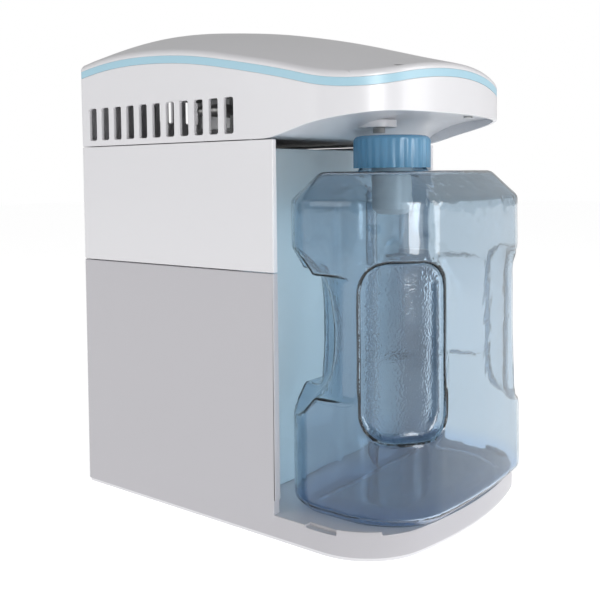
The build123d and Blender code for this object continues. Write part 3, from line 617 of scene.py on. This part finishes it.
def make_jug():
    """The clear jug: a thin shell with a sloping shoulder, a neck, four grips and a channel."""
    low, high = JUG_FOOT + JUG_BEVEL, JUG_SHOULDER
    jug = d_block("jug_body", JUG_HALF, JUG_REAR, JUG_TIP, JUG_CORNER, JUG_BOW, low, high, JUG_REAR_CORNER)
    edit(jug)
    pick(jug, "FACE", lambda f: f.normal.z > 0.9)
    bpy.ops.transform.resize(value=(1, JUG_TOP_TAPER, 1), center_override=(0, JUG_REAR, JUG_SHOULDER))
    bpy.ops.mesh.inset(thickness=JUG_TOP_INSET, depth=JUG_TOP - JUG_SHOULDER)
    pick(jug, "FACE", lambda f: f.normal.z < -0.9)
    bpy.ops.mesh.inset(thickness=JUG_BEVEL, depth=JUG_BEVEL)
    bpy.ops.mesh.inset(thickness=0.009, depth=0)
    bpy.ops.mesh.inset(thickness=0.012, depth=-0.005)
    done()
    carve(jug, drum("neck", CAP_CENTRE, NECK_RADIUS, JUG_TOP - 0.010, NECK_TOP + 0.004), "UNION")
    carve(jug, drum("bead", CAP_CENTRE, 0.0264, JUG_TOP - 0.002, JUG_TOP + 0.002), "UNION")
    carve(jug, channel_tool())
    for side in (-1, 1):
        carve(jug, pocket_tool(side))
        carve(jug, notch_tool(side))
        carve(jug, corner_relief(side))
    apply(jug, "REMESH", mode="VOXEL", voxel_size=VOXEL)
    apply(jug, "SMOOTH", factor=0.5, iterations=6)
    ripple = bpy.data.textures.new("ripple", "CLOUDS")
    ripple.noise_scale = 0.016
    apply(jug, "DISPLACE", texture=ripple, texture_coords="LOCAL", strength=0.0004, mid_level=0.5)
    edit(jug)
    bpy.ops.mesh.select_all(action="SELECT")
    bpy.ops.mesh.normals_make_consistent(inside=False)
    bpy.ops.mesh.bisect(plane_co=(0, 0, NECK_TOP), plane_no=(0, 0, 1), clear_outer=True)
    done()
    apply(jug, "SOLIDIFY", thickness=JUG_WALL, offset=-1)
    mark_grips(jug)
    solo(jug)
    bpy.ops.object.shade_smooth()
    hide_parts("jug")
    return place(jug, "jug")


make_jug()

# ---------------------------------------------------------------- stage and light
bpy.ops.object.select_all(action="DESELECT")
bpy.ops.mesh.primitive_plane_add(size=14, location=(0, 0, 0))
floor = bpy.context.object
floor.name = "floor"


def floor_material():
    """A pale paper sweep, lit a little from below so that it reads near white."""
    material = moulded("pale floor", (0.86, 0.86, 0.86), 0.7, grain=0.0, drift=0.0)
    shader = material.node_tree.nodes["Principled BSDF"]
    shader.inputs["Emission Color"].default_value = (1, 1, 1, 1)
    shader.inputs["Emission Strength"].default_value = 0.66
    return material


dress(floor, floor_material())


def softbox(name, place_at, aim, width, height, power):
    """A rectangular studio lamp."""
    data = bpy.data.lights.new(name, "AREA")
    data.shape = "RECTANGLE"
    data.size = width
    data.size_y = height
    data.energy = power
    lamp = bpy.data.objects.new(name, data)
    bpy.context.scene.collection.objects.link(lamp)
    direction = Vector(aim) - Vector(place_at)
    lamp.matrix_world = Matrix.Translation(place_at) @ direction.to_track_quat("-Z", "Y").to_matrix().to_4x4()
    return lamp


BAY = (-0.05, -0.1, 0.2)
REAR_LEFT = (-0.1, 0.1, 0.25)
softbox("front left box", (-0.48, -1.69, 0.66), BAY, 1.1, 1.25, 6.3)
softbox("front right box", (0.94, -1.41, 0.66), BAY, 0.4, 1.2, 5)
softbox("left fill", (-1.7, 0.8, 0.9), REAR_LEFT, 1.0, 1.2, 5)
glint = softbox("glint strip", (-0.46, -1.69, 0.58), BAY, 0.55, 1.05, 12)
glint.visible_diffuse = False


def studio_world():
    """Even pale surroundings, dimmer overhead, with a plain white backdrop."""
    world = bpy.data.worlds.new("studio")
    bpy.context.scene.world = world
    world.use_nodes = True
    nodes, links = world.node_tree.nodes, world.node_tree.links
    direction = nodes.new("ShaderNodeTexCoord")
    parts = nodes.new("ShaderNodeSeparateXYZ")
    links.new(direction.outputs["Generated"], parts.inputs[0])
    rise = nodes.new("ShaderNodeMapRange")
    rise.inputs["To Min"].default_value = 0.5
    rise.inputs["To Max"].default_value = 0.3
    links.new(parts.outputs["Z"], rise.inputs["Value"])
    surroundings = nodes["Background"]
    links.new(rise.outputs["Result"], surroundings.inputs["Strength"])
    backdrop = nodes.new("ShaderNodeBackground")
    backdrop.inputs["Color"].default_value = (1, 1, 1, 1)
    surroundings.inputs["Color"].default_value = (1, 1, 1, 1)
    path = nodes.new("ShaderNodeLightPath")
    mix = nodes.new("ShaderNodeMixShader")
    links.new(path.outputs["Is Camera Ray"], mix.inputs["Fac"])
    links.new(surroundings.outputs["Background"], mix.inputs[1])
    links.new(backdrop.outputs["Background"], mix.inputs[2])
    links.new(mix.outputs["Shader"], nodes["World Output"].inputs["Surface"])


studio_world()
bpy.context.scene.view_settings.view_transform = "Standard"
